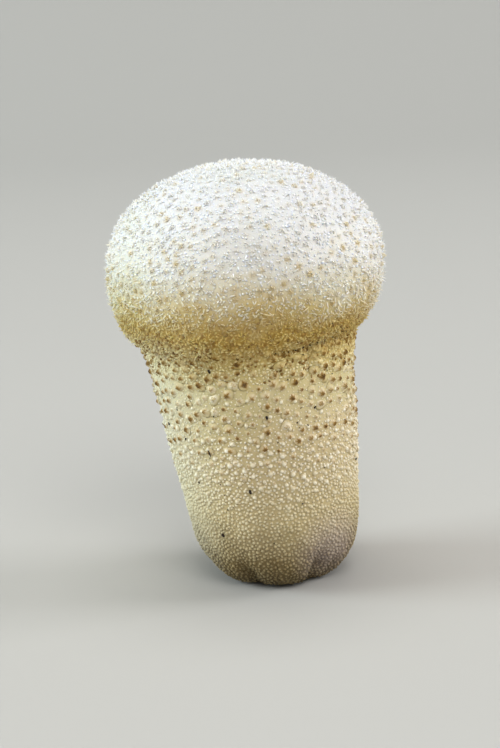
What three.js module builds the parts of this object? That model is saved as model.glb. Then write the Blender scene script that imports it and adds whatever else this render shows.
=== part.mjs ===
// A pestle-shaped puffball mushroom as picked: one solid fruit body, in millimetres, +Z up.
// The origin is the centre of the small flat spot that it rests on, and -Y is its front.
//
// Its outline is turned about the axis, from the flat spot up: a rounded foot, a stem that
// widens upwards, a neck, the underside of the head and a domed crown. The turned body then
// leans and bulges a little, and pleats gather its foot, because nothing that grows is round.
// The surface is the envelope of the spine tips, so the skin lies about a millimetre inside.

import * as THREE from "three";
import { mergeVertices } from "three/addons/utils/BufferGeometryUtils.js";

// Heights of the stretches, from the ground up. The whole height is their sum.
const FOOT_HEIGHT = 15.5;
const STEM_LENGTH = 58;
const UNDERSIDE_HEIGHT = 20.5;
const CROWN_HEIGHT = 29;

// Radii between those stretches.
const REST_RADIUS = 13;
const FOOT_RADIUS = 24.8;
const NECK_RADIUS = 30.4;
const HEAD_RADIUS = 40.2;

// How the outline swells between its ends.
const FOOT_FLARE = 7;
const FOOT_RISE = 2.4;
const FOOT_TUCK = 0.9;
const STEM_SWELL = 2.4;
const NECK_TUCK = 1.2;
const NECK_FLARE = 5;
const NECK_RISE = 4;
const CROWN_FULLNESS = 0.97;

// How the body departs from a turned one.
const STEM_LEAN = 6.5;
const HEAD_RETURN = 1.4;
const NECK_SLOPE = 1.2;
const NECK_SLOPE_REACH = 14;
const LOBES = [
  { count: 2, depth: 0.5, turn: 1.9 },
  { count: 3, depth: 0.35, turn: 0.5 },
  { count: 5, depth: 0.2, turn: 2.6 },
];
const PLEAT_ANGLES = [8, 55, 97, 148, 196, 244, 305];
const PLEAT_DEPTH = 2.2;
const PLEAT_WIDTH = 8;
const PLEAT_REACH = 9;

// How finely the surface is cut into faces.
const FACES_ROUND = 72;
const STEPS = { foot: 7, stem: 10, underside: 7, crown: 12 };

const NECK_Z = FOOT_HEIGHT + STEM_LENGTH;
const HEAD_Z = NECK_Z + UNDERSIDE_HEIGHT;

/** A cubic curve through four (radius, height) points, of which the middle two pull it. */
function pull(...points) {
  return new THREE.CubicBezierCurve(...points.map(([r, z]) => new THREE.Vector2(r, z)));
}

/** The outline's points from the centre of the flat spot to the top of the crown. */
function outline() {
  const foot = pull(
    [REST_RADIUS, 0],
    [REST_RADIUS + FOOT_FLARE, FOOT_RISE],
    [FOOT_RADIUS - FOOT_TUCK, 0.45 * FOOT_HEIGHT],
    [FOOT_RADIUS, FOOT_HEIGHT],
  );
  const stem = pull(
    [FOOT_RADIUS, FOOT_HEIGHT],
    [FOOT_RADIUS + STEM_SWELL, FOOT_HEIGHT + 0.35 * STEM_LENGTH],
    [NECK_RADIUS - NECK_TUCK, NECK_Z - 0.3 * STEM_LENGTH],
    [NECK_RADIUS, NECK_Z],
  );
  const underside = pull(
    [NECK_RADIUS, NECK_Z],
    [NECK_RADIUS + NECK_FLARE, NECK_Z + NECK_RISE],
    [HEAD_RADIUS, HEAD_Z - 0.63 * UNDERSIDE_HEIGHT],
    [HEAD_RADIUS, HEAD_Z],
  );
  const points = [new THREE.Vector2(0, 0)];
  points.push(...foot.getPoints(STEPS.foot));
  points.push(...stem.getPoints(STEPS.stem).slice(1));
  points.push(...underside.getPoints(STEPS.underside).slice(1));
  for (let step = 1; step <= STEPS.crown; step++) {
    const angle = (Math.PI / 2) * (step / STEPS.crown);
    const radius = step < STEPS.crown ? HEAD_RADIUS * Math.cos(angle) ** CROWN_FULLNESS : 0;
    points.push(new THREE.Vector2(radius, HEAD_Z + CROWN_HEIGHT * Math.sin(angle)));
  }
  return points;
}

/** From 0 at the ground, where the flat spot stays true, to 1 at the top of the foot. */
function aboveFoot(z) {
  return THREE.MathUtils.smoothstep(z, 0, FOOT_HEIGHT);
}

/** How far the lobes push the surface out at an angle and height. */
function lobing(angle, z) {
  const swell = LOBES.map(({ count, depth, turn }) => depth * Math.cos(count * angle + turn));
  return aboveFoot(z) * swell.reduce((sum, value) => sum + value, 0);
}

/** How far the pleats pull the foot in at an angle and height. */
function pleating(angle, z) {
  const fade = Math.exp(-((z / PLEAT_REACH) ** 2));
  const degrees = THREE.MathUtils.radToDeg(angle);
  const pinches = PLEAT_ANGLES.map((pleat) => {
    const apart = THREE.MathUtils.euclideanModulo(degrees - pleat + 180, 360) - 180;
    return Math.exp(-((apart / PLEAT_WIDTH) ** 2));
  });
  return PLEAT_DEPTH * fade * pinches.reduce((sum, value) => sum + value, 0);
}

/** The axis's shift to the right: the stem leans left and the head comes back a little. */
function lean(z) {
  const up = THREE.MathUtils.clamp(z / NECK_Z, 0, 1);
  const above = Math.max(z - NECK_Z, 0) / (UNDERSIDE_HEIGHT + CROWN_HEIGHT);
  return HEAD_RETURN * above - STEM_LEAN * up ** 1.2;
}

/** How far the neck is lifted on its right and lowered on its left. */
function slope(angle, z) {
  return NECK_SLOPE * Math.exp(-(((z - NECK_Z) / NECK_SLOPE_REACH) ** 2)) * Math.cos(angle);
}

/** Moves the turned body's points to where the grown body has them. */
function grow(geometry) {
  const at = geometry.getAttribute("position");
  const point = new THREE.Vector3();
  for (let i = 0; i < at.count; i++) {
    point.fromBufferAttribute(at, i);
    const turned = Math.hypot(point.x, point.y);
    const angle = Math.atan2(point.y, point.x);
    // Towards the axis the lobes and pleats fade, so that the pole and the flat spot stay whole.
    const share = Math.min(turned / REST_RADIUS, 1);
    const radius = turned + share * (lobing(angle, point.z) - pleating(angle, point.z));
    at.setXYZ(
      i,
      radius * Math.cos(angle) + lean(point.z),
      radius * Math.sin(angle),
      point.z + (turned > 0 && point.z > 0 ? slope(angle, point.z) : 0),
    );
  }
  return geometry;
}

/** The fruit body as one closed surface. */
function fruitBody() {
  const turned = new THREE.LatheGeometry(outline(), FACES_ROUND);
  turned.rotateX(Math.PI / 2);
  turned.deleteAttribute("normal");
  turned.deleteAttribute("uv");
  const grown = grow(mergeVertices(turned, 1e-3));
  grown.computeVertexNormals();
  return grown;
}

const flesh = new THREE.MeshStandardMaterial({ color: 0xded3a8, roughness: 0.9, metalness: 0 });
const body = new THREE.Mesh(fruitBody(), flesh);
body.name = "fruit_body";

const puffball = new THREE.Group();
puffball.add(body);

export default puffball;
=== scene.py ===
"""The looks of a pestle-shaped puffball mushroom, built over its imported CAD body.

The CAD body is the envelope of the puffball's spine tips. The skin is that body drawn in a
little, with the lumps, neck wrinkles and foot folds that a grown thing has. What stands on it
is real geometry, scattered over it: spikes and tufts of joined hairs on the head, fine welts
under it, brown stars on cushions on the upper stem, granules and beads down to the foot, and
a few crumbs of soil.

Coordinates are in metres in the CAD's frame, +Z up with -Y as the front. Sizes are written in
millimetres and multiplied by MM. Angles go round the stem from +X, so the front is at 270.
"""

import math

import bmesh
import bpy
import numpy as np
from mathutils import Matrix, Vector, kdtree, noise


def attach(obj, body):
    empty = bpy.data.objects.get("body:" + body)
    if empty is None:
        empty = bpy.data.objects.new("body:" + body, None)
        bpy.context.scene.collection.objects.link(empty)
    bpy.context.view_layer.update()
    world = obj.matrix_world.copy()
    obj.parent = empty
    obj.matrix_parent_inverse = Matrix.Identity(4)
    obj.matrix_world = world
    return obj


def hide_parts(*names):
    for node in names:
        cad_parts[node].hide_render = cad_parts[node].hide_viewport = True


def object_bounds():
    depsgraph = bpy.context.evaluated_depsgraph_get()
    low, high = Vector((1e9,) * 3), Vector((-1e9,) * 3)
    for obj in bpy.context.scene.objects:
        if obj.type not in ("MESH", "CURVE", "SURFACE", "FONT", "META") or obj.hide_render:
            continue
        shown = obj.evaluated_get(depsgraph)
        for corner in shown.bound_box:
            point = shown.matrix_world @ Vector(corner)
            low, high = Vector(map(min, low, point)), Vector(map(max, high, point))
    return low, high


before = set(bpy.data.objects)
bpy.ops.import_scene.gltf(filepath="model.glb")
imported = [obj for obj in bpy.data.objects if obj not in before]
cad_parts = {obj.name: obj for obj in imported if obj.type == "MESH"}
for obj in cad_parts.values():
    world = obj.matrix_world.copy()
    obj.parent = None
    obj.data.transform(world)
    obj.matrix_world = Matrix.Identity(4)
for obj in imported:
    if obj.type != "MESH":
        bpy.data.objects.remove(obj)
CAD_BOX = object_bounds()

MM = 0.001
BODY_NODE = "fruit_body"

# The surface that the body stands on, the body's height, and its neck's height in millimetres.
GROUND = CAD_BOX[0][2]
HEIGHT = CAD_BOX[1][2] - GROUND
NECK = 0.598 * HEIGHT / MM

# The angle of the front, in degrees.
FRONT = 270

# The photograph's viewpoint: how far the camera looks down and leans, and from how far away.
CAMERA_ELEVATION = math.radians(13)
CAMERA_LEAN = math.radians(3)
CAMERA_DISTANCE = 516 * MM
CAMERA_AIM = Vector((-5.95 * MM, 0, 60.7 * MM))
CAMERA_LENS = 85
CAMERA_SENSOR = 36


# ---------------------------------------------------------------- small helpers

def hex_colour(code):
    """An sRGB colour code as the linear colour that Blender's sockets hold."""
    channels = [((code >> shift) & 255) / 255 for shift in (16, 8, 0)]
    linear = [c / 12.92 if c <= 0.04045 else ((c + 0.055) / 1.055) ** 2.4 for c in channels]
    return (*linear, 1.0)


def smooth_step(low, high, value):
    """0 below low, 1 above high and a smooth rise between."""
    share = np.clip((value - low) / (high - low), 0, 1)
    return share * share * (3 - 2 * share)


def bell(value):
    """1 at 0, falling smoothly to about 0 at 2 and -2."""
    return np.exp(-(value**2))


def degrees_from(angle, angles):
    """How far round each of the angles lies beyond the one, from -180 to 180 degrees."""
    return (angles - angle + 180) % 360 - 180


def perlin(points, size, seed):
    """Smooth noise from about -1 to 1 at each point, with features of that size."""
    shift = Vector((seed * 7.3, seed * 3.1, seed * 11.9))
    return np.array([noise.noise(Vector(p) / size + shift) for p in points])


def unit(vectors):
    """The vectors at a length of 1."""
    return vectors / np.maximum(np.linalg.norm(vectors, axis=-1, keepdims=True), 1e-12)


def across(normals):
    """Two directions along the surface at each normal."""
    helper = np.where(np.abs(normals[:, 2:]) < 0.9, [[0.0, 0.0, 1.0]], [[1.0, 0.0, 0.0]])
    first = unit(np.cross(helper, normals))
    return first, np.cross(normals, first)


def mesh_object(name, points, triangles, attributes=None, cell_uv=None):
    """A new smooth-shaded object from points and triangles, with point attributes by name."""
    mesh = bpy.data.meshes.new(name)
    mesh.vertices.add(len(points))
    mesh.vertices.foreach_set("co", points.astype(np.float32).ravel())
    mesh.loops.add(triangles.size)
    mesh.loops.foreach_set("vertex_index", triangles.astype(np.int32).ravel())
    mesh.polygons.add(len(triangles))
    mesh.polygons.foreach_set("loop_start", np.arange(0, triangles.size, 3, dtype=np.int32))
    mesh.polygons.foreach_set("use_smooth", np.ones(len(triangles), bool))
    for label, values in (attributes or {}).items():
        layer = mesh.attributes.new(label, "FLOAT", "POINT")
        layer.data.foreach_set("value", values.astype(np.float32).ravel())
    if cell_uv is not None:
        layer = mesh.uv_layers.new(name="OFBake")
        layer.uv.foreach_set("vector", cell_uv.astype(np.float32).ravel())
    mesh.update(calc_edges=True)
    thing = bpy.data.objects.new(name, mesh)
    bpy.context.scene.collection.objects.link(thing)
    return thing


# ---------------------------------------------------------------- skin

VOXEL = 0.56 * MM
SMOOTHINGS = 10
# The body's leaning axis is worked out from so many levels.
LEVELS = 40
# How far the skin lies inside the CAD surface: heights, then the depth at each, in mm.
INSET = ([0, 6, 20, 60, NECK, 84, 123], [0.0, 0.15, 0.15, 0.25, 0.25, 0.35, 0.45])
# Its shape fades in between these heights, in mm, so that the spot that it rests on is flat.
FREE_ABOVE = (0.3, 6)
# The lumps all over it, as noise: how high in mm, how broad, and the noise's seed.
LUMPS = [(0.42, 17 * MM, 1), (0.2, 6 * MM, 2)]
FOLDS = [
    # angle, half width in degrees, depth in mm, height that it fades over in mm
    (8, 8, 1.2, 8),
    (55, 7, 1.4, 9),
    (97, 8, 1.2, 7),
    (148, 8, 1.5, 9),
    (196, 7, 1.3, 8),
    (243, 6, 2.6, 8),
    (303, 6, 3.0, 11),
    (319, 4, 1.8, 8),
    (345, 6, 1.0, 7),
]
NECK_FOLD_ANGLE = 303


def remeshed_body():
    """The CAD body as an even mesh of small quads, with its facets smoothed away."""
    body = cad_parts[BODY_NODE]
    mesh = body.data.copy()
    edit = bmesh.new()
    edit.from_mesh(mesh)
    bmesh.ops.remove_doubles(edit, verts=edit.verts, dist=1e-6)
    edit.to_mesh(mesh)
    edit.free()
    mesh.materials.clear()
    skin = bpy.data.objects.new("skin", mesh)
    bpy.context.scene.collection.objects.link(skin)
    remesh = skin.modifiers.new("even", "REMESH")
    remesh.mode = "VOXEL"
    remesh.voxel_size = VOXEL
    smooth = skin.modifiers.new("smooth", "SMOOTH")
    smooth.factor = 0.5
    smooth.iterations = SMOOTHINGS
    done = bpy.data.meshes.new_from_object(
        skin.evaluated_get(bpy.context.evaluated_depsgraph_get())
    )
    skin.modifiers.clear()
    skin.data = done
    return skin


def vertex_arrays(mesh):
    """A mesh's points and normals as arrays."""
    points = np.empty(len(mesh.vertices) * 3, np.float32)
    normals = np.empty_like(points)
    mesh.vertices.foreach_get("co", points)
    mesh.vertex_normals.foreach_get("vector", normals)
    return points.reshape(-1, 3).astype(float), normals.reshape(-1, 3).astype(float)


def around(points):
    """Each point's angle round the body's leaning axis, in degrees from 0 to 360."""
    heights = np.linspace(GROUND, GROUND + HEIGHT, LEVELS)
    band = np.digitize(points[:, 2], heights)
    middles = [
        (points[band == i, :2].max(0) + points[band == i, :2].min(0)) / 2
        for i in np.unique(band)
    ]
    levels = [points[band == i, 2].mean() for i in np.unique(band)]
    x = points[:, 0] - np.interp(points[:, 2], levels, [m[0] for m in middles])
    y = points[:, 1] - np.interp(points[:, 2], levels, [m[1] for m in middles])
    return np.degrees(np.arctan2(y, x)) % 360


def foot_folds(up, angles):
    """How deep the folds that gather the foot are, each with a broad dip round it, in mm."""
    folds = np.zeros(len(up))
    for angle, width, depth, reach in FOLDS:
        apart = degrees_from(angle, angles)
        sharp = bell(apart / width) * bell(up / reach)
        broad = bell(apart / (3 * width)) * bell(up / (2.5 * reach))
        folds += depth * (0.75 * sharp + 0.25 * broad)
    return folds


def neck_filling(up, angles):
    """How far the neck is filled out, most of all in front, in mm."""
    filled = 0.9 + 1.3 * bell(degrees_from(FRONT, angles) / 55)
    return filled * bell((up - NECK - 0.5) / 5)


def neck_wrinkles(up, angles):
    """How high the narrow upright wrinkles round the neck are, in mm."""
    turn = np.radians(angles)
    stretched = np.column_stack([np.cos(turn) * 16, np.sin(turn) * 16, up / 9])
    return 0.35 * bell((up - NECK) / 7) * perlin(stretched, 1, 3)


def neck_creases(up, angles):
    """How deep the upright crease at the neck's right and the sloping one beside it are, in mm."""
    apart = degrees_from(NECK_FOLD_ANGLE, angles)
    upright = 1.1 * bell(apart / 1.8) * bell((up - NECK + 4) / 5)
    line = NECK + 1.0 + 0.08 * apart
    sloping = 0.9 * bell((up - line) / 0.9) * bell((apart - 8) / 16)
    return upright + sloping


def relief(points, angles):
    """How far the skin lies outside the CAD surface at each point, in mm."""
    up = (points[:, 2] - GROUND) / MM
    shape = sum(height * perlin(points, size, seed) for height, size, seed in LUMPS)
    shape = shape + neck_filling(up, angles) + neck_wrinkles(up, angles)
    shape = shape - foot_folds(up, angles) - neck_creases(up, angles)
    free = smooth_step(*FREE_ABOVE, up)
    return free * shape - np.interp(up, *INSET)


def make_skin():
    """The skin as a closed surface just inside the CAD body, flat where it stands."""
    skin = remeshed_body()
    points, normals = vertex_arrays(skin.data)
    angles = around(points)
    moved = points + normals * (relief(points, angles) * MM)[:, None]
    moved[:, 2] = np.maximum(moved[:, 2], GROUND)
    skin.data.vertices.foreach_set("co", moved.astype(np.float32).ravel())
    skin.data.polygons.foreach_set("use_smooth", np.ones(len(skin.data.polygons), bool))
    skin.data.update()
    return skin


# ---------------------------------------------------------------- scattering

class Spots:
    """Places on the skin: where they are and which way the surface faces there."""

    def __init__(self, points, normals):
        self.points = points
        self.normals = normals
        self.up = (points[:, 2] - GROUND) / MM

    def __len__(self):
        return len(self.points)

    def where(self, chosen):
        """The places that are chosen by a mask or by their indices."""
        return Spots(self.points[chosen], self.normals[chosen])

    def between(self, low, high):
        """The places above the one height and no higher than the other, in mm."""
        return self.where((self.up > low) & (self.up <= high))

    def by_height(self, profile):
        """The value at each place, from a profile of heights in mm and the value at each."""
        return np.interp(self.up, *profile)


def random_spots(skin, count, random):
    """Random places spread evenly over the skin's area."""
    mesh = skin.data
    mesh.calc_loop_triangles()
    corners = np.empty(len(mesh.loop_triangles) * 3, np.int32)
    mesh.loop_triangles.foreach_get("vertices", corners)
    corners = corners.reshape(-1, 3)
    points, normals = vertex_arrays(mesh)
    a, b, c = (points[corners[:, i]] for i in range(3))
    area = np.linalg.norm(np.cross(b - a, c - a), axis=1)
    picked = random.choice(len(corners), count, p=area / area.sum())
    u, v = random.random(count), random.random(count)
    over = u + v > 1
    u[over], v[over] = 1 - u[over], 1 - v[over]
    weights = np.column_stack([1 - u - v, u, v])[:, :, None]
    chosen = corners[picked]
    return Spots(
        (points[chosen] * weights).sum(1),
        unit((normals[chosen] * weights).sum(1)),
    )


def thinned(spots, spacing):
    """The places left when each keeps its own spacing, in millimetres, from those before it."""
    cell = float(spacing.max()) * MM
    keys = np.floor(spots.points / cell).astype(int)
    limits = (spacing * MM) ** 2
    near = [(i, j, k) for i in (-1, 0, 1) for j in (-1, 0, 1) for k in (-1, 0, 1)]
    grid = {}
    kept = []
    for index, (place, key, limit) in enumerate(
        zip(spots.points.tolist(), keys.tolist(), limits.tolist())
    ):
        crowded = any(
            (place[0] - q[0]) ** 2 + (place[1] - q[1]) ** 2 + (place[2] - q[2]) ** 2 < limit
            for i, j, k in near
            for q in grid.get((key[0] + i, key[1] + j, key[2] + k), ())
        )
        if not crowded:
            grid.setdefault(tuple(key), []).append(place)
            kept.append(index)
    return spots.where(np.array(kept))


def nearness(points, centres, reach, strengths):
    """From 0 to 1: how near each point is to its nearest centre, times that centre's strength."""
    tree = kdtree.KDTree(len(centres))
    for index, centre in enumerate(centres):
        tree.insert(centre, index)
    tree.balance()
    found = [tree.find(p) for p in points]
    which = np.array([f[1] for f in found])
    apart = np.array([f[2] for f in found])
    return strengths[which] * bell(apart / (reach[which] * MM))


# ---------------------------------------------------------------- spines

def shell_triangles(sides, rings):
    """The triangles of a closed shell: a flat bottom, rings of points and a last point on top."""
    top = sides * rings
    faces = [(0, k + 1, k) for k in range(1, sides - 1)]
    for ring in range(rings - 1):
        for k in range(sides):
            low, low_next = ring * sides + k, ring * sides + (k + 1) % sides
            faces.append((low, low_next, low_next + sides))
            faces.append((low, low_next + sides, low + sides))
    last = top - sides
    faces += [(last + k, last + (k + 1) % sides, top) for k in range(sides)]
    return np.array(faces)


def cell_map(places, triangles, count):
    """A square map in which each of count like items has a cell of its own.

    places gives an item's points within its cell, in a circle of radius 1 round the middle.
    """
    side = math.ceil(math.sqrt(count))
    index = np.arange(count)
    corners = np.column_stack([index % side, index // side])
    inside = 0.5 + 0.46 * np.array(places)[triangles]
    return ((corners[:, None, None, :] + inside[None]) / side).reshape(-1, 2)


class Spine:
    """A kind of tapering spine. Each ring is a share of the length and of the root's radius."""

    def __init__(self, sides, rings):
        self.sides = sides
        self.rings = rings
        self.triangles = shell_triangles(sides, len(rings))
        self.turns = [2 * math.pi * k / sides for k in range(sides)]

    def grow(self, roots, directions, bends, lengths, radii):
        """Curved spines' points, triangles and how far up its spine each point is."""
        first, second = across(unit(directions))
        rows, ups = [], []
        for share, girth in self.rings:
            along = directions * (lengths * share)[:, None] + bends * (lengths * share**2)[:, None]
            for turn in self.turns:
                aside = first * math.cos(turn) + second * math.sin(turn)
                rows.append(roots + along + aside * (radii * girth)[:, None])
                ups.append(share)
        rows.append(roots + (directions + bends) * lengths[:, None])
        ups.append(1.0)
        points = np.stack(rows, 1)
        each = points.shape[1]
        triangles = self.triangles[None] + (np.arange(len(roots)) * each)[:, None, None]
        return points.reshape(-1, 3), triangles.reshape(-1, 3), np.tile(ups, len(roots))

    def uv(self, count):
        """A map with a cell for each spine, its tip at the cell's middle."""
        places = [
            ((1 - share) * math.cos(turn), (1 - share) * math.sin(turn))
            for share, _ in self.rings
            for turn in self.turns
        ]
        return cell_map(places + [(0.0, 0.0)], self.triangles, count)


HAIR = Spine(4, [(0.0, 1.0), (0.45, 0.72), (0.8, 0.36)])
SPIKE = Spine(5, [(0.0, 1.0), (0.3, 0.66), (0.68, 0.3)])
CRUMB = Spine(6, [(0.0, 0.55), (0.3, 1.0), (0.75, 0.8)])
# How deep a spine's root or a mound's edge is sunk in the skin, in mm.
SUNK = 0.15
# Which share of the spikes is tall, by how many mm, and how much slenderer than the others.
TALL_SHARE, TALL, TALL_GIRTH = 0.28, 1.05, 0.65
# A tuft has so many hairs, of which the first ones always grow and the rest only by chance.
HAIRS, SURE_HAIRS, HAIR_CHANCE = 6, 4, 0.6
# A hair's thickness at its root, as a share of its tuft's size.
HAIR_GIRTH = 0.24


def lean_to(normals, amount, random):
    """Each normal leant over in a random direction, by up to an amount for all or for each."""
    first, second = across(normals)
    turn = random.uniform(0, 2 * math.pi, len(normals))
    tilt = amount * np.sqrt(random.random(len(normals)))
    aside = first * (np.cos(turn) * tilt)[:, None] + second * (np.sin(turn) * tilt)[:, None]
    return unit(normals + aside)


def make_spikes(name, spots, length, radius, lean, stain, random):
    """Separate broad-footed spines, each leaning and bending its own way."""
    count = len(spots)
    size = random.uniform(0.6, 1.4, count)
    tall = random.random(count) < TALL_SHARE
    length = length * size + np.where(tall, TALL, 0.0)
    directions = lean_to(spots.normals, lean, random)
    bends = (lean_to(spots.normals, 1.0, random) - spots.normals) * 0.7
    roots = spots.points - spots.normals * SUNK * MM
    girth = radius * size * random.uniform(0.85, 1.15, count) * MM
    girth = girth * np.where(tall, TALL_GIRTH, 1.0)
    points, triangles, up = SPIKE.grow(roots, directions, bends, length * MM, girth)
    each = len(up) // count
    attributes = {
        "tip": np.sqrt(up),
        "tint": np.repeat(random.random(count), each),
        "stain": np.repeat(stain, each),
    }
    return mesh_object(name, points, triangles, attributes, SPIKE.uv(count))


def make_tufts(name, spots, size, rise, stain, root_stain, random):
    """Tufts of hairs that stand in a ring and lean together until their tips meet.

    rise is how tall a tuft of size 1 stands, and root_stain the roots' share of the tips' stain.
    """
    parts = []
    for member in range(HAIRS):
        chance = 1.0 if member < SURE_HAIRS else HAIR_CHANCE
        there = np.flatnonzero(random.random(len(spots)) < chance)
        normals = spots.normals[there]
        first, second = across(normals)
        turn = 2 * math.pi * (member + random.uniform(-0.3, 0.3, len(there))) / HAIRS
        outward = first * np.cos(turn)[:, None] + second * np.sin(turn)[:, None]
        big = size[there] * random.uniform(0.85, 1.15, len(there))
        spread = big * random.uniform(0.5, 0.75, len(there)) * MM
        roots = spots.points[there] + outward * spread[:, None] - normals * SUNK * MM
        lengths = big * rise * random.uniform(0.85, 1.2, len(there)) * MM
        directions = unit(normals + outward * 0.15)
        bends = -outward * (spread / lengths * 1.1)[:, None]
        girth = big * HAIR_GIRTH * MM
        parts.append((there, HAIR.grow(roots, directions, bends, lengths, girth)))
    start = 0
    points, triangles, up, owner = [], [], [], []
    for there, (own_points, own_triangles, own_up) in parts:
        points.append(own_points)
        triangles.append(own_triangles + start)
        up.append(own_up)
        owner.append(np.repeat(there, len(own_points) // len(there)))
        start += len(own_points)
    up = np.concatenate(up)
    owner = np.concatenate(owner)
    attributes = {
        "tip": up,
        "tint": random.random(len(spots))[owner],
        "stain": stain[owner] * (root_stain + (1 - root_stain) * up),
    }
    hairs = sum(len(there) for there, _ in parts)
    return mesh_object(
        name, np.concatenate(points), np.concatenate(triangles), attributes, HAIR.uv(hairs)
    )


# ---------------------------------------------------------------- mounds

class Mound:
    """The shape of a kind of mound. Its rings run inwards from one that is sunk in the skin.

    rise and stain give a point's height and stain from its reach, its angle and the mound's
    kind from 0 to 1. stretch is the least and the greatest ratio of a mound's two widths.
    """

    def __init__(self, sides, reaches, rise, stain, wobble=0.1, stretch=(0.8, 1.25)):
        self.rise = rise
        self.stain = stain
        self.wobble = wobble
        self.stretch = stretch
        self.triangles = shell_triangles(sides, len(reaches))
        turns = [2 * math.pi * k / sides for k in range(sides)]
        self.rows = [(reach, turn) for reach in reaches for turn in turns] + [(0.0, 0.0)]

    def uv(self, count):
        """A map with a cell for each mound, seen from above."""
        widest = self.rows[0][0]
        places = [
            (reach / widest * math.cos(turn), reach / widest * math.sin(turn))
            for reach, turn in self.rows
        ]
        return cell_map(places, self.triangles, count)


def cushion_rise(reach, angle, kind):
    """A low swelling that melts into the skin."""
    return 0.5 + 0.5 * math.cos(math.pi * min(reach, 1))


def cushion_stain(reach, angle, kind):
    """The brown under a star of spines, drawn out into a few rays."""
    rays = 0.5 + 0.5 * np.cos(angle * np.round(4 + 2 * kind) + kind * 30)
    return bell(reach / (0.5 + 0.35 * rays))


def grain_rise(reach, angle, kind):
    """A rounded grain, some flatter and some more pointed."""
    return max(1 - reach**2, 0) ** (0.6 + 0.8 * kind)


def grain_stain(reach, angle, kind):
    """A faint stain at the very tip."""
    return np.full_like(kind, bell(reach / 0.25))


def welt_stain(reach, angle, kind):
    """A stain over the whole of a welt."""
    return np.ones_like(kind)


CUSHION = Mound(12, [1.3, 1.0, 0.75, 0.5, 0.25], cushion_rise, cushion_stain, wobble=0.12)
GRANULE = Mound(8, [1.15, 0.8, 0.4], grain_rise, grain_stain)
BEAD = Mound(6, [1.15, 0.85, 0.45], grain_rise, grain_stain)
WELT = Mound(6, [1.15, 0.8, 0.4], grain_rise, welt_stain, stretch=(0.4, 0.9))


def make_mounds(name, spots, radius, height, mound, stain, random):
    """Mounds that grow out of the skin, each turned, stretched and leant its own way."""
    count = len(spots)
    upright = lean_to(spots.normals, 0.2, random)
    first, second = across(upright)
    spin = random.uniform(-math.pi, math.pi, count)
    wide = first * np.cos(spin)[:, None] + second * np.sin(spin)[:, None]
    tall = np.cross(upright, wide)
    stretch = np.sqrt(random.uniform(*mound.stretch, count))
    kind = random.random(count)
    rows, tips, stains = [], [], []
    for reach, angle in mound.rows:
        wobble = 1 + mound.wobble * np.sin(angle * 3 + kind * 40) * min(reach, 1)
        x = reach * wobble * math.cos(angle) * stretch * radius
        y = reach * wobble * math.sin(angle) / stretch * radius
        z = height * mound.rise(reach, angle, kind) if reach <= 1 else np.full(count, -SUNK)
        aside = wide * (x * MM)[:, None] + tall * (y * MM)[:, None]
        rows.append(spots.points + aside + spots.normals * (z * MM)[:, None])
        # A mound's middle is paler: partly its own colour and partly a painted highlight on its top.
        tips.append(np.full(count, min(1.6 * max(1 - reach, 0), 1)))
        stains.append(mound.stain(reach, angle, kind))
    points = np.stack(rows, 1)
    each = points.shape[1]
    triangles = mound.triangles[None] + (np.arange(count) * each)[:, None, None]
    attributes = {
        "tip": np.stack(tips, 1),
        "tint": np.repeat(random.random(count), each),
        "stain": np.stack(stains, 1) * stain[:, None],
    }
    return mesh_object(
        name, points.reshape(-1, 3), triangles.reshape(-1, 3), attributes, mound.uv(count)
    )


# ---------------------------------------------------------------- soil

CRUMBS = [
    # angle, height, length and width in mm
    (238, 44, 2.2, 0.45),
    (275, 55, 1.2, 0.8),
    (249, 69, 1.3, 0.8),
    (304, 56, 0.9, 0.6),
    (259, 33, 1.3, 0.9),
    (235, 19, 1.3, 0.9),
    (204, 50, 1.0, 0.5),
    (223, 34, 0.8, 0.4),
    (339, 36, 0.8, 0.5),
    (290, 28, 0.5, 0.4),
    (221, 47, 0.9, 0.4),
    (298, 51, 0.8, 0.3),
    (60, 40, 1.2, 0.5),
    (130, 52, 0.9, 0.6),
    (95, 24, 1.4, 0.5),
    (160, 66, 0.8, 0.5),
]
# A row of specks lies in the crease under the head, and others are scattered over the stem.
CREASE_SPECKS = [(292 + 4.2 * k, 73.6 + 0.34 * k, 0.55, 0.4) for k in range(9)]
SPECKS = 110


def make_crumbs(name, places, angles, random):
    """Crumbs of dark soil that stick to the stem."""
    specks = np.column_stack([
        random.uniform(0, 360, SPECKS),
        random.triangular(6, 72, 84, SPECKS),
        random.uniform(0.25, 0.5, SPECKS),
        random.uniform(0.2, 0.35, SPECKS),
    ])
    crumbs = np.concatenate([np.array(CRUMBS + CREASE_SPECKS, float), specks])
    chosen = []
    for angle, up, _, _ in crumbs:
        apart = degrees_from(angle, angles)
        chosen.append(np.argmin((apart / 2) ** 2 + (places.up - up) ** 2))
    spots = places.where(np.array(chosen))
    first, second = across(spots.normals)
    turn = random.uniform(0, 2 * math.pi, len(spots))
    along = first * np.cos(turn)[:, None] + second * np.sin(turn)[:, None]
    length, width = crumbs[:, 2] * MM, crumbs[:, 3] * MM
    lift = np.maximum(width, 0.3 * MM)[:, None]
    roots = spots.points + spots.normals * lift - along * (length / 2)[:, None]
    bends = spots.normals * random.uniform(-0.1, 0.3, len(spots))[:, None]
    points, triangles, _ = CRUMB.grow(roots, along, bends, length, width / 2)
    points = points + random.normal(0, 0.05 * MM, points.shape)
    return mesh_object(name, points, triangles, None, CRUMB.uv(len(spots)))


# ---------------------------------------------------------------- materials

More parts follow.
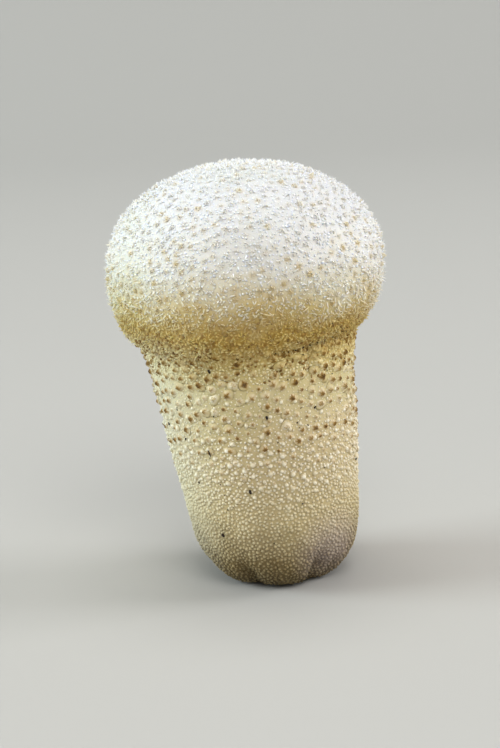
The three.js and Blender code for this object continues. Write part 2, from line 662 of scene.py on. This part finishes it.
class Nodes:
    """A short way to add and link the nodes of one material."""

    def __init__(self, name):
        self.material = bpy.data.materials.new(name)
        self.material.use_nodes = True
        self.tree = self.material.node_tree
        self.tree.nodes.clear()

    def add(self, kind, **inputs):
        """A node with its inputs set or linked. A name like In_0 means the input number 0."""
        node = self.tree.nodes.new(kind)
        for name, value in inputs.items():
            key = int(name[3:]) if name.startswith("In_") else name.replace("_", " ")
            socket = node.inputs[key]
            if isinstance(value, bpy.types.NodeSocket):
                self.tree.links.new(value, socket)
            else:
                socket.default_value = value
        return node

    def math(self, operation, first, second=0.0, third=0.0, clamp=False):
        """The result of an operation on one, two or three numbers."""
        node = self.add("ShaderNodeMath", In_0=first, In_1=second, In_2=third)
        node.operation = operation
        node.use_clamp = clamp
        return node.outputs[0]

    def mix(self, factor, first, second, blend="MIX"):
        """Two colours mixed or blended as far as the factor says."""
        node = self.tree.nodes.new("ShaderNodeMix")
        node.data_type = "RGBA"
        node.blend_type = blend
        for index, value in ((0, factor), (6, first), (7, second)):
            if isinstance(value, bpy.types.NodeSocket):
                self.tree.links.new(value, node.inputs[index])
            else:
                node.inputs[index].default_value = value
        return node.outputs[2]

    def multiplied(self, factor, colour, code):
        """The colour multiplied by a second one, as far as the factor says."""
        return self.mix(factor, colour, self.mix(1.0, colour, hex_colour(code), "MULTIPLY"))

    def spread(self, value, start, end, low=0.0, high=1.0):
        """A value that goes from low at start to high at end and is level beyond them."""
        node = self.add(
            "ShaderNodeMapRange",
            Value=value, From_Min=start, From_Max=end, To_Min=low, To_Max=high,
        )
        return node.outputs[0]

    def ramp(self, value, stops):
        """The colour at a value between stops of position and colour code."""
        node = self.add("ShaderNodeValToRGB", Fac=value)
        band = node.color_ramp
        while len(band.elements) < len(stops):
            band.elements.new(0.5)
        for element, (position, colour) in zip(band.elements, stops):
            element.position = position
            element.color = hex_colour(colour)
        return node.outputs["Color"]

    def noise(self, place, size, detail=3.0, rough=0.55):
        """Noise from 0 to 1 with features of that size in millimetres."""
        node = self.add(
            "ShaderNodeTexNoise", Vector=place, Scale=1 / (size * MM), Detail=detail, Roughness=rough
        )
        return node.outputs["Fac"]

    def attribute(self, name):
        """A number that each of the mesh's points holds."""
        node = self.tree.nodes.new("ShaderNodeAttribute")
        node.attribute_name = name
        return node.outputs["Fac"]


# Colours of the bare skin and of the tips on it by share of the height, from the foot up.
# The foot's dark browns are partly its own dull colour and partly painted shade.
SKIN_STOPS = [
    (0.00, 0x54462E),
    (0.08, 0x7C6A46),
    (0.18, 0xC4B288),
    (0.40, 0xD2C096),
    (0.50, 0xD6C89A),
    # From here to 0.70 the ochre band under the head is partly its own ochre and partly painted
    # shade, of the head's overhang and of the gaps between the welts.
    (0.57, 0xD8C280),
    (0.64, 0xBE9C4C),
    (0.70, 0xD6C08A),
    (0.75, 0xE4DCC6),
    (0.80, 0xE5E3DC),
    (0.88, 0xDBDBDA),
    (1.00, 0xCFD0D2),
]
# The tips are paler than the bare skin, partly in their own colour and partly as painted highlight.
TIP_STOPS = [
    # The foot's dark tips are partly their own dull colour and partly painted shade.
    (0.00, 0x887B5A),
    (0.08, 0xA4946C),
    (0.20, 0xE2D8B8),
    (0.32, 0xFCF7E8),
    (0.50, 0xFDF9E8),
    # From here to 0.70 the tips in the ochre band are partly their own ochre and partly painted
    # shade under the head's overhang.
    (0.57, 0xF8EEBE),
    (0.65, 0xD8BC6C),
    (0.70, 0xF8F4E8),
    (0.76, 0xF8F8F9),
    (0.84, 0xF2F2F2),
    (1.00, 0xEAEAEA),
]
OCHRE_BAND = [(0.54, 0x000000), (0.60, 0xFFFFFF), (0.64, 0xFFFFFF), (0.69, 0x000000)]
BLOTCH = 0xAC8446
MOTTLE = 0xCFC2A0
# The stem's stains are dark in the middle and golden round it. The head's are tan.
STAIN = 0x5A3808
STAIN_HALO = 0xC49C48
HEAD_STAIN = 0xCCB27A
# Broad patches are greenish. Painted light from the left makes the left of the stem and of the
# head's lower part greenish, and the stem's left paler still.
GREENISH = 0xF3F8E4
PAINTED_LEFT_LIGHT = 0xF4F8EC
LILAC = 0xB4A6AC
LILAC_PATCH = (15 * MM, -17 * MM, 12 * MM)
# The head's front is browner than its back, partly in its own colour and partly as painted
# shade, so the colours lie lower there: by how much per metre of depth, and at the middle.
DEPTH_TILT = 1.1
MIDDLE_TILT = 0.038
SPECULAR = 0.3


def colour_level(n, place, depth, share):
    """The height whose colours a point takes: its own, adrift a little and tilted on the head."""
    drift = n.math("MULTIPLY_ADD", n.noise(place, 9, 2.0), 0.09, -0.045)
    on_head = n.spread(share, 0.52, 0.70)
    tilt = n.math("MULTIPLY", n.math("MULTIPLY_ADD", depth, DEPTH_TILT, MIDDLE_TILT), on_head)
    return n.math("ADD", n.math("ADD", share, drift), tilt)


def skin_colour(n, place, level, mottle):
    """The bare skin's colour, mottled finely and greenish in broad patches."""
    skin = n.ramp(level, SKIN_STOPS)
    skin = n.multiplied(n.math("MULTIPLY", mottle, 0.22), skin, MOTTLE)
    patches = n.spread(n.noise(place, 26, 1.0), 0.5, 0.72, high=0.35)
    return n.multiplied(patches, skin, GREENISH)


def tipped(n, colour, level, strength):
    """The colour with paler tips, some paler than others, partly in the tips' own colour and partly
    as painted highlight.
    """
    tint = n.math("MULTIPLY_ADD", n.attribute("tint"), 0.5, 0.6)
    tip = n.math("MULTIPLY", n.math("MULTIPLY", n.attribute("tip"), tint), strength, clamp=True)
    return n.mix(tip, colour, n.ramp(level, TIP_STOPS))


def blotched(n, colour, place, level):
    """The colour with brown blotches in the ochre band under the head."""
    blotches = n.spread(n.noise(place, 1.8, 3.0), 0.5, 0.68, high=0.7)
    return n.multiplied(n.math("MULTIPLY", blotches, n.ramp(level, OCHRE_BAND)), colour, BLOTCH)


def painted_side_light_and_lilac(n, colour, place, side, share):
    """The colour with painted light from the left, greenish and paler there, and lilac in one patch
    of the foot.
    """
    # Painted side light: greenish on the left of the stem and of the head's lower part.
    leftness = n.spread(side, -12 * MM, -42 * MM, high=0.8)
    leftness = n.math("MULTIPLY", leftness, n.spread(share, 0.82, 0.66))
    colour = n.multiplied(leftness, colour, GREENISH)
    # Painted side light: paler on the stem's left.
    painted_left_light = n.spread(side, -15 * MM, -35 * MM, high=0.38)
    painted_left_light = n.math("MULTIPLY", painted_left_light, n.spread(share, 0.66, 0.56))
    colour = n.mix(painted_left_light, colour, hex_colour(PAINTED_LEFT_LIGHT))
    apart = n.add("ShaderNodeVectorMath", In_0=place, In_1=LILAC_PATCH)
    apart.operation = "DISTANCE"
    lilac = n.spread(apart.outputs["Value"], 4 * MM, 14 * MM, 0.35, 0.0)
    return n.mix(lilac, colour, hex_colour(LILAC))


def stained(n, colour, place, share, strength):
    """The colour with the stains, which cover it in uneven grains."""
    stain = n.math("MULTIPLY", n.attribute("stain"), strength, clamp=True)
    brown = n.mix(stain, hex_colour(STAIN_HALO), hex_colour(STAIN))
    brown = n.mix(n.spread(share, 0.60, 0.78), brown, hex_colour(HEAD_STAIN))
    cover = n.math("MULTIPLY", stain, 1.8, clamp=True)
    grain = n.spread(n.noise(place, 0.5, 2.0), 0.3, 0.7, low=0.9)
    return n.mix(n.math("MULTIPLY", cover, grain), colour, brown)


def flesh(name, tip_strength, stain_strength, bump, softness):
    """The puffball's matt flesh, coloured by height, with paler tips and brown stains.

    bump is the height of the fine bumps in mm, and softness is how much light sinks in.
    """
    n = Nodes(name)
    place = n.add("ShaderNodeTexCoord").outputs["Object"]
    axes = n.add("ShaderNodeSeparateXYZ", Vector=place).outputs
    share = n.math("DIVIDE", axes["Z"], HEIGHT)
    level = colour_level(n, place, axes["Y"], share)
    mottle = n.noise(place, 2.2, 4.0, 0.65)

    colour = skin_colour(n, place, level, mottle)
    colour = tipped(n, colour, level, tip_strength)
    colour = blotched(n, colour, place, level)
    colour = painted_side_light_and_lilac(n, colour, place, axes["X"], share)
    colour = stained(n, colour, place, share, stain_strength)

    rough = n.spread(mottle, 0.0, 1.0, 0.72, 0.95)
    fine = n.add(
        "ShaderNodeBump", Height=n.noise(place, 0.45, 3.0, 0.6), Distance=bump * MM, Strength=0.6
    ).outputs[0]
    shader = n.add(
        "ShaderNodeBsdfPrincipled", Base_Color=colour, Roughness=rough, Normal=fine
    )
    shader.inputs["Subsurface Weight"].default_value = softness
    shader.inputs["Subsurface Radius"].default_value = (1.0, 0.8, 0.5)
    shader.inputs["Subsurface Scale"].default_value = 1.2 * MM
    shader.inputs["Specular IOR Level"].default_value = SPECULAR
    n.add("ShaderNodeOutputMaterial", Surface=shader.outputs[0])
    return n.material


def soil():
    """Dry black-brown soil."""
    n = Nodes("soil")
    place = n.add("ShaderNodeTexCoord").outputs["Object"]
    grain = n.noise(place, 0.3, 3.0)
    colour = n.ramp(grain, [(0.35, 0x15100C), (0.7, 0x3C2D20)])
    rough = n.spread(grain, 0.0, 1.0, 0.8, 1.0)
    fine = n.add("ShaderNodeBump", Height=grain, Distance=0.1 * MM, Strength=0.7).outputs[0]
    shader = n.add(
        "ShaderNodeBsdfPrincipled", Base_Color=colour, Roughness=rough, Normal=fine
    )
    n.add("ShaderNodeOutputMaterial", Surface=shader.outputs[0])
    return n.material


# ---------------------------------------------------------------- the puffball

SEED = 7
# How many random places there are to grow on, and below which height nothing does, in mm.
CANDIDATES = 420000
BARE_BELOW = 1.2

# What grows on the head: each profile has heights in mm and the value at each.
HEAD_BANDS = [("brim_spikes", 60, 86), ("shoulder_spikes", 86, 98), ("crown_spikes", 98, 130)]
SPIKE_SPACING = ([74, 82, 92, 97], [1.0, 0.82, 0.84, 0.93])
SPIKE_LENGTH = ([70, 80, 86, 95, 123], [0.6, 1.05, 1.1, 0.56, 0.42])
SPIKE_RADIUS = ([70, 80, 88, 96, 123], [0.3, 0.32, 0.38, 0.46, 0.46])
SPIKE_LEAN = ([72, 80, 88, 98], [0.7, 1.6, 1.4, 0.65])
TUFT_SPACING = 2.4
TUFT_RISE = 1.1
TUFT_STAIN = ([86, 94, 104, 112], [1.55, 1.4, 0.85, 0.7])
# Tufts get smaller from the first height down to the second.
TUFTS_SHRINK = (96, 78)
# How far round a tuft its stain reaches, in mm.
STAIN_REACH = 0.95

# What grows on the stem, from the stars on their cushions down to the foot's beads.
WARTS_ABOVE = 34
WART_SPACING = ([34, 52, 64, 73], [3.8, 2.9, 2.8, 2.5])
WART_SIZE = ([34, 50, 66, 73], [0.8, 1.2, 1.4, 1.1])
WART_STAIN = ([34, 46], [0.3, 1.0])
CUSHION_RISE, STAR_LIFT, STAR_SIZE, STAR_RISE = 0.6, 0.42, 0.62, 0.6
GRANULES_FROM, GRANULES_TO = 20, 60
GRANULE_SPACING = ([20, 32, 46, 60], [3.0, 2.0, 2.3, 3.6])
GRANULE_SIZE = ([20, 34, 50, 66], [0.6, 0.85, 0.8, 0.55])
BEAD_BANDS = [("foot_beads", 0, 38), ("stem_beads", 38, NECK)]
BEAD_SPACING = ([0, 30, 40], [0.95, 0.95, 1.02])
BEAD_SIZE = ([0, 24, 40, 55, 73], [0.6, 0.6, 0.46, 0.3, 0.26])
GRAIN_RISE = 0.8

# The welts lie between these heights from the neck. Some of them are brown.
WELTS_FROM, WELTS_TO = -9, 10
WELT_SPACING = 0.86
WELT_SIZE = ([63, 68, 78, 84], [0.36, 0.5, 0.5, 0.36])
BROWN_WELTS = 0.25

# The soil's crumbs lie no higher than this above the neck.
CRUMBS_TO = 11


def raised(spots, lift):
    """The same places, lifted off the skin by that many millimetres."""
    return Spots(spots.points + spots.normals * (lift * MM)[:, None], spots.normals)


def away_from(spots, centres, gap):
    """The places that lie further than the gap in millimetres from every centre."""
    reach = np.ones(len(centres))
    return spots.where(nearness(spots.points, centres, reach, reach) < bell(gap))


def build_head(head, random):
    """The head's tufts and the spikes between them, and each tuft's centre, reach and stain."""
    few = head.where(np.arange(0, len(head), 4))
    tufts = thinned(few, np.full(len(few), TUFT_SPACING))
    stain = np.clip(random.gamma(1.6, 0.2, len(tufts)), 0.08, 1)
    stain = np.clip(stain * tufts.by_height(TUFT_STAIN), 0, 1)
    shrunk = 1 - 0.3 * smooth_step(*TUFTS_SHRINK, tufts.up)
    size = random.uniform(0.65, 1.1, len(tufts)) * shrunk

    room = away_from(head, tufts.points, 0.6)
    pieces = []
    reach = np.full(len(tufts), STAIN_REACH)
    for name, low, high in HEAD_BANDS:
        part = room.between(low, high)
        spikes = thinned(part, part.by_height(SPIKE_SPACING))
        length = spikes.by_height(SPIKE_LENGTH)
        radius = spikes.by_height(SPIKE_RADIUS)
        lean = spikes.by_height(SPIKE_LEAN)
        own_stain = nearness(spikes.points, tufts.points, reach, stain * 0.8)
        pieces.append(make_spikes(name, spikes, length, radius, lean, own_stain, random))
    pieces.append(make_tufts("head_tufts", tufts, size, TUFT_RISE, stain, 0.5, random))
    return pieces, tufts.points, reach, stain


def build_warts(stem, random):
    """The stem's brown stars of hairs on low cushions, and their centres."""
    few = stem.where(stem.up > WARTS_ABOVE)
    warts = thinned(few, few.by_height(WART_SPACING))
    stain = np.clip(random.normal(0.6, 0.28, len(warts)), 0.22, 1)
    stain = stain * warts.by_height(WART_STAIN)
    size = warts.by_height(WART_SIZE) * random.uniform(0.7, 1.3, len(warts))
    tops = raised(warts, size * STAR_LIFT)
    rise = size * CUSHION_RISE
    pieces = [
        make_mounds("wart_cushions", warts, size, rise, CUSHION, stain, random),
        make_tufts("wart_stars", tops, size * STAR_SIZE, STAR_RISE, stain, 0.4, random),
    ]
    return pieces, warts.points


def build_grains(name, room, mound, spacing, sizes, vary, stains, random):
    """Rounded grains spaced and sized by height, and their centres.

    vary is the least and greatest share of the size, and stains the stain's mean and spread.
    """
    grains = thinned(room, room.by_height(spacing))
    size = grains.by_height(sizes) * random.uniform(*vary, len(grains))
    stain = np.clip(random.normal(*stains, len(grains)), 0, 0.6)
    piece = make_mounds(name, grains, size, size * GRAIN_RISE, mound, stain, random)
    return piece, grains.points


def build_stem(stem, random):
    """The stem's brown stars on cushions, its granules and its fine beads."""
    pieces, centres = build_warts(stem, random)
    room = away_from(stem, centres, 0.9)
    granules, centres = build_grains(
        "stem_granules", room.between(GRANULES_FROM, GRANULES_TO), GRANULE,
        GRANULE_SPACING, GRANULE_SIZE, (0.7, 1.2), (0.05, 0.2), random,
    )
    pieces.append(granules)
    room = away_from(room, centres, 0.75)
    for name, low, high in BEAD_BANDS:
        beads, _ = build_grains(
            name, room.between(low, high), BEAD,
            BEAD_SPACING, BEAD_SIZE, (0.75, 1.15), (0.0, 0.15), random,
        )
        pieces.append(beads)
    return pieces


def build_neck(band, random):
    """The fine welts that crowd under the head, turned every way and some of them brown."""
    welts = thinned(band, np.full(len(band), WELT_SPACING))
    size = welts.by_height(WELT_SIZE) * random.uniform(0.75, 1.2, len(welts))
    brown = random.random(len(welts)) < BROWN_WELTS
    stain = np.where(brown, random.uniform(0.3, 0.9, len(welts)), 0.0)
    return make_mounds("neck_welts", welts, size, size * GRAIN_RISE, WELT, stain, random)


def build_puffball():
    """Makes every piece of the puffball, sets what it rides on and hides the CAD body."""
    random = np.random.default_rng(SEED)
    skin = make_skin()

    everywhere = random_spots(skin, CANDIDATES, random)
    head = everywhere.where(everywhere.up > NECK)
    stem = everywhere.between(BARE_BELOW, NECK)
    band = everywhere.between(NECK + WELTS_FROM, NECK + WELTS_TO)

    pieces, centres, reach, strengths = build_head(head, random)
    pieces += build_stem(stem, random)
    pieces.append(build_neck(band, random))
    points, _ = vertex_arrays(skin.data)
    layer = skin.data.attributes.new("stain", "FLOAT", "POINT")
    layer.data.foreach_set("value", nearness(points, centres, reach, strengths).astype(np.float32))

    bare = flesh("skin_flesh", tip_strength=0.0, stain_strength=0.55, bump=0.25, softness=0.35)
    spiny = flesh("spine_flesh", tip_strength=0.95, stain_strength=0.6, bump=0.05, softness=0.7)
    starry = flesh("star_flesh", tip_strength=0.2, stain_strength=1.25, bump=0.05, softness=0.05)
    warty = flesh("wart_flesh", tip_strength=0.8, stain_strength=1.0, bump=0.15, softness=0.08)
    skin.data.materials.append(bare)
    special = {name: spiny for name, _, _ in HEAD_BANDS}
    special.update({"head_tufts": spiny, "wart_stars": starry})
    for piece in pieces:
        piece.data.materials.append(special.get(piece.name, warty))

    below = everywhere.between(BARE_BELOW, NECK + CRUMBS_TO)
    crumbs = make_crumbs("soil_crumbs", below, around(below.points), random)
    crumbs.data.materials.append(soil())
    for piece in [skin, *pieces, crumbs]:
        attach(piece, "root")
    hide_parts(BODY_NODE)


# ---------------------------------------------------------------- studio

FLOOR_COLOUR = 0xABA9A4
LIGHTS = [
    # name, place in metres, size in metres, power in watts, colour
    ("overhead", (0.0, 0.1, 2.0), 1.0, 13.5, 0xFFFFFF),
    ("front", (0.35, -1.55, 1.6), 1.2, 24, 0xFFFFFF),
    ("left_side", (-6.0, 0.0, 2.7), 3.0, 365, 0xECFAFF),
    ("right_side", (6.0, 0.3, 3.0), 3.0, 250, 0xF8FAFF),
]
ROOM_COLOUR = 0xF4F2EE
ROOM_STRENGTH = 0.38


def plain_material(name, colour, roughness):
    """A plain studio surface."""
    material = bpy.data.materials.new(name)
    material.use_nodes = True
    shader = material.node_tree.nodes["Principled BSDF"]
    shader.inputs["Base Color"].default_value = hex_colour(colour)
    shader.inputs["Roughness"].default_value = roughness
    return material


def build_floor():
    """A pale floor that curves up into a backdrop."""
    front, flat_back, bend, top, half, steps = -5.0, 1.2, 1.0, 3.5, 5.0, 12
    profile = [(front, 0.0), (flat_back, 0.0)]
    for step in range(1, steps + 1):
        angle = math.pi / 2 * step / steps
        profile.append((flat_back + bend * math.sin(angle), bend * (1 - math.cos(angle))))
    profile.append((flat_back + bend, top))
    points = np.array([(x, y, z) for y, z in profile for x in (-half, half)])
    points[:, 2] += GROUND
    triangles = []
    for i in range(len(profile) - 1):
        a = 2 * i
        triangles += [(a, a + 1, a + 3), (a, a + 3, a + 2)]
    floor = mesh_object("floor", points, np.array(triangles))
    floor.data.materials.append(plain_material("floor_card", FLOOR_COLOUR, 0.9))


def area_light(name, place, aim, size, power, colour):
    """A soft square light at a place, turned towards an aim."""
    lamp = bpy.data.lights.new(name, "AREA")
    lamp.size = size
    lamp.energy = power
    lamp.color = hex_colour(colour)[:3]
    light = bpy.data.objects.new(name, lamp)
    light.location = place
    light.rotation_euler = (Vector(aim) - Vector(place)).to_track_quat("-Z", "Y").to_euler()
    bpy.context.scene.collection.objects.link(light)


def build_lights():
    """A broad light overhead, one in front and one on each side, and a dim room."""
    middle = (0, 0, 0.55 * HEIGHT)
    for name, place, size, power, colour in LIGHTS:
        area_light(name, place, middle, size, power, colour)
    world = bpy.data.worlds.new("room")
    world.use_nodes = True
    background = world.node_tree.nodes["Background"]
    background.inputs["Color"].default_value = hex_colour(ROOM_COLOUR)
    background.inputs["Strength"].default_value = ROOM_STRENGTH
    bpy.context.scene.world = world
    bpy.context.scene.view_settings.view_transform = "Standard"


def build_camera():
    """The camera at the photograph's viewing angle, leaning so that the puffball does."""
    back = Vector((0, -math.cos(CAMERA_ELEVATION), math.sin(CAMERA_ELEVATION)))
    level_up = Vector((0, math.sin(CAMERA_ELEVATION), math.cos(CAMERA_ELEVATION)))
    side = Vector((1, 0, 0))
    right = side * math.cos(CAMERA_LEAN) - level_up * math.sin(CAMERA_LEAN)
    up = side * math.sin(CAMERA_LEAN) + level_up * math.cos(CAMERA_LEAN)
    camera = bpy.data.objects.new("camera", bpy.data.cameras.new("camera"))
    camera.data.lens = CAMERA_LENS
    camera.data.sensor_width = CAMERA_SENSOR
    camera.data.clip_start = 10 * MM
    turned = Matrix((right, up, back)).transposed().to_4x4()
    camera.matrix_world = Matrix.Translation(CAMERA_AIM + back * CAMERA_DISTANCE) @ turned
    bpy.context.scene.collection.objects.link(camera)
    bpy.context.scene.camera = camera


build_camera()
build_lights()
build_floor()
build_puffball()
